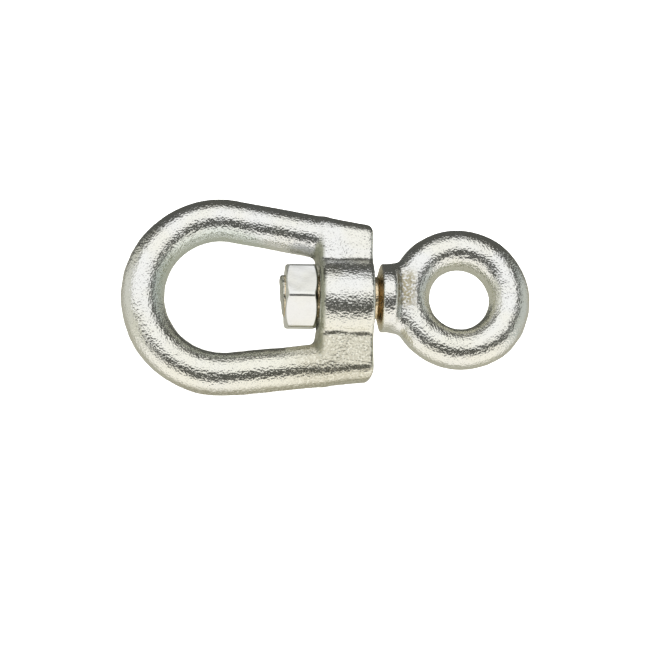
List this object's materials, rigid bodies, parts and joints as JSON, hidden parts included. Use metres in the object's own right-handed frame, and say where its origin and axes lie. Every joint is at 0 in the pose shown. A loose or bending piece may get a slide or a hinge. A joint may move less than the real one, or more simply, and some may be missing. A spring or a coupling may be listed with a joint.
{
  "type": "eye and bow swivel",
  "caption": "Zinc-plated forged swivel for hanging meat hooks: a D-shaped bow with a bored boss, and an eye bolt that turns in it, kept by a hex nut.",
  "frame": {"origin": "where the swivel hangs: on the swivel axis, on the inside of the bow's round end", "axes": "+X along the swivel axis from the bow to the eye; +Z square to the plane in which the bow and the eye both lie flat at rest; +Y across the bow"},
  "size_m": [0.1162, 0.0566, 0.0244],
  "materials": {
    "zinc_forging": "bright zinc plating on a shot-blasted drop forging, fine-grained, with a faint yellow and green passivation tint",
    "zinc_nut": "bright zinc plating on a smooth nut, satin"
  },
  "bodies": {
    "bow": {"bow": "zinc_forging"},
    "eye_bolt": {"eye_bolt": "zinc_forging", "lock_nut": "zinc_nut"}
  },
  "joints": [
    {"name": "swivel", "type": "hinge", "parent": "bow", "child": "eye_bolt", "pos_m": [0.05145, 0, 0], "axis": [1, 0, 0], "continuous": true}
  ]
}
